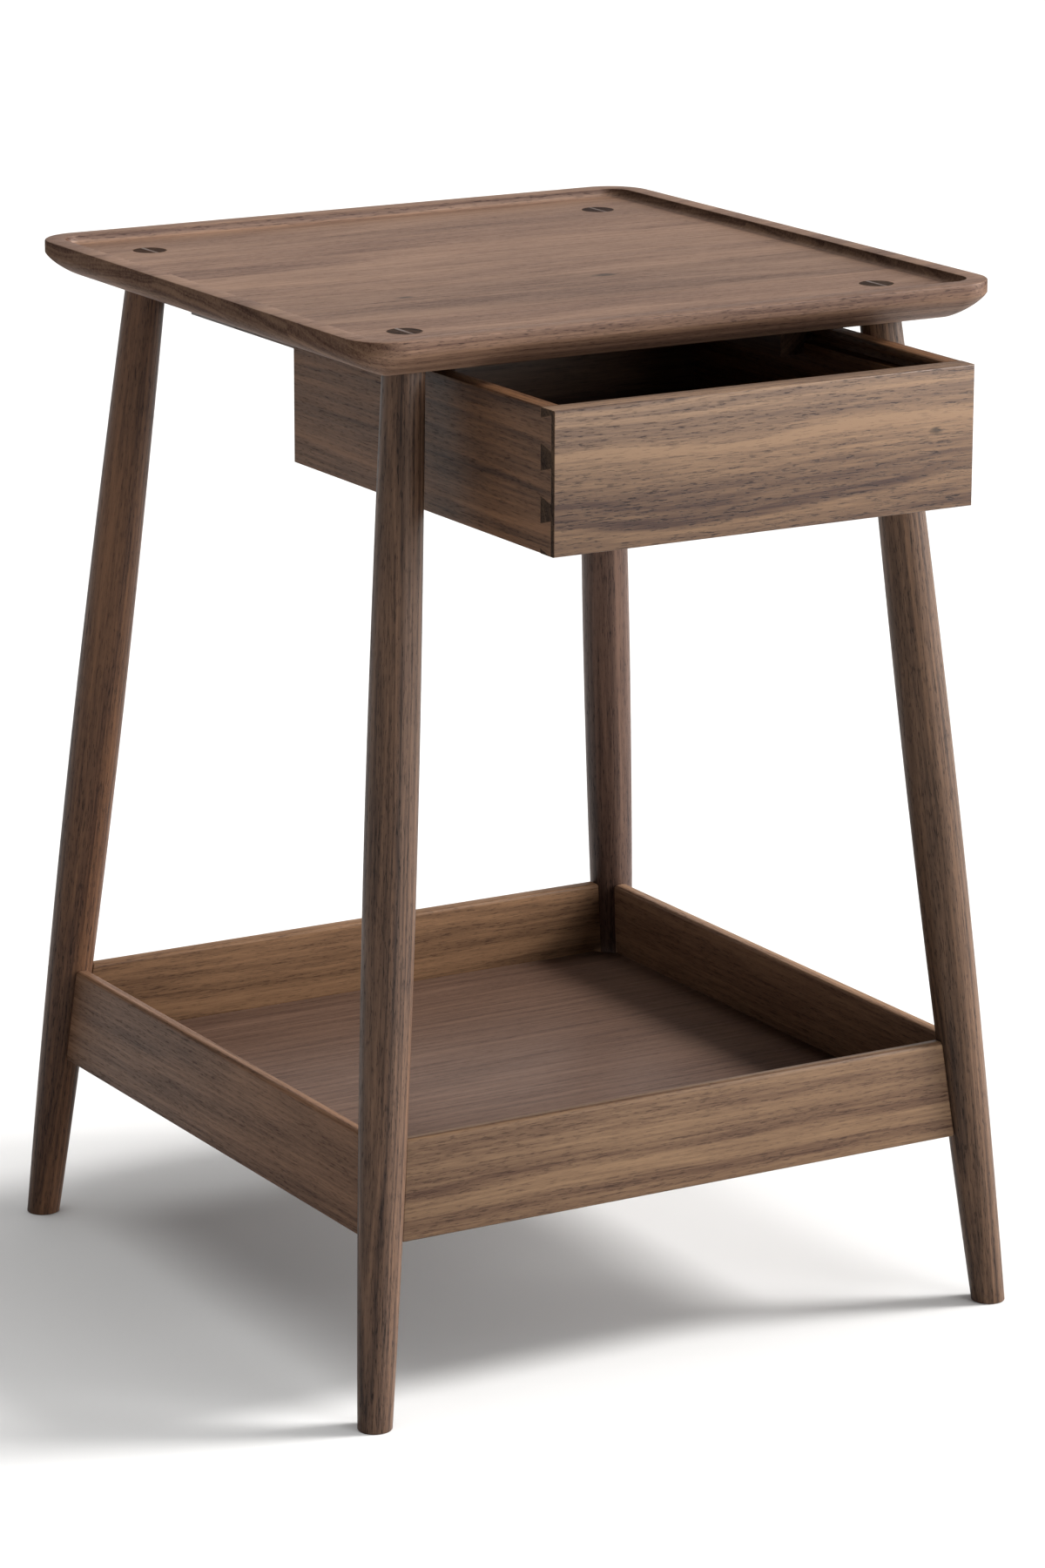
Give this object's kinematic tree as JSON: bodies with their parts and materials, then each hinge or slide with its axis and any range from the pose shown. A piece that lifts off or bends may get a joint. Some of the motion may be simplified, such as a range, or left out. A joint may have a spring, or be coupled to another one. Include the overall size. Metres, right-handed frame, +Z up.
{
  "type": "side table with drawer",
  "caption": "Square side table with a rimmed top, splayed turned legs, a low open tray and a dovetailed drawer hung on runners under the top.",
  "frame": {"origin": "on the floor, under the centre of the whole box with the drawer pulled out as it stands at rest", "axes": "+Z up, the drawer opens towards -Y, +X to the right of somebody facing the drawer from -Y"},
  "size_m": [0.4284, 0.4932, 0.6],
  "materials": {
    "top": "oiled satin, visible grain",
    "legs": "oiled satin, visible grain",
    "wedges": "oiled satin, visible grain",
    "tray_rails": "oiled satin, visible grain",
    "tray_panel": "oiled satin, visible grain",
    "runners": "plain oiled",
    "drawer_front": "oiled satin, visible grain",
    "drawer_box": "oiled satin, visible grain",
    "drawer_bottom": "oiled satin, visible grain",
    "screws": "plain, slightly dulled"
  },
  "bodies": {
    "table": {"tabletop": "top", "leg_front_left": "legs", "leg_front_right": "legs", "leg_back_left": "legs", "leg_back_right": "legs", "wedge_front_left": "wedges", "wedge_front_right": "wedges", "wedge_back_left": "wedges", "wedge_back_right": "wedges", "tray_rail_front": "tray_rails", "tray_rail_back": "tray_rails", "tray_rail_left": "tray_rails", "tray_rail_right": "tray_rails", "tray_panel": "tray_panel", "runner_left": "runners", "runner_right": "runners", "runner_screws": "screws"},
    "drawer": {"drawer_front": "drawer_front", "drawer_side_left": "drawer_box", "drawer_side_right": "drawer_box", "drawer_back": "drawer_box", "drawer_bottom": "drawer_bottom", "drawer_bottom_screws": "screws"}
  },
  "joints": [
    {"name": "drawer_slide", "type": "slide", "parent": "table", "child": "drawer", "axis": [0, -1, 0], "range_m": [-0.136, 0.045]}
  ]
}
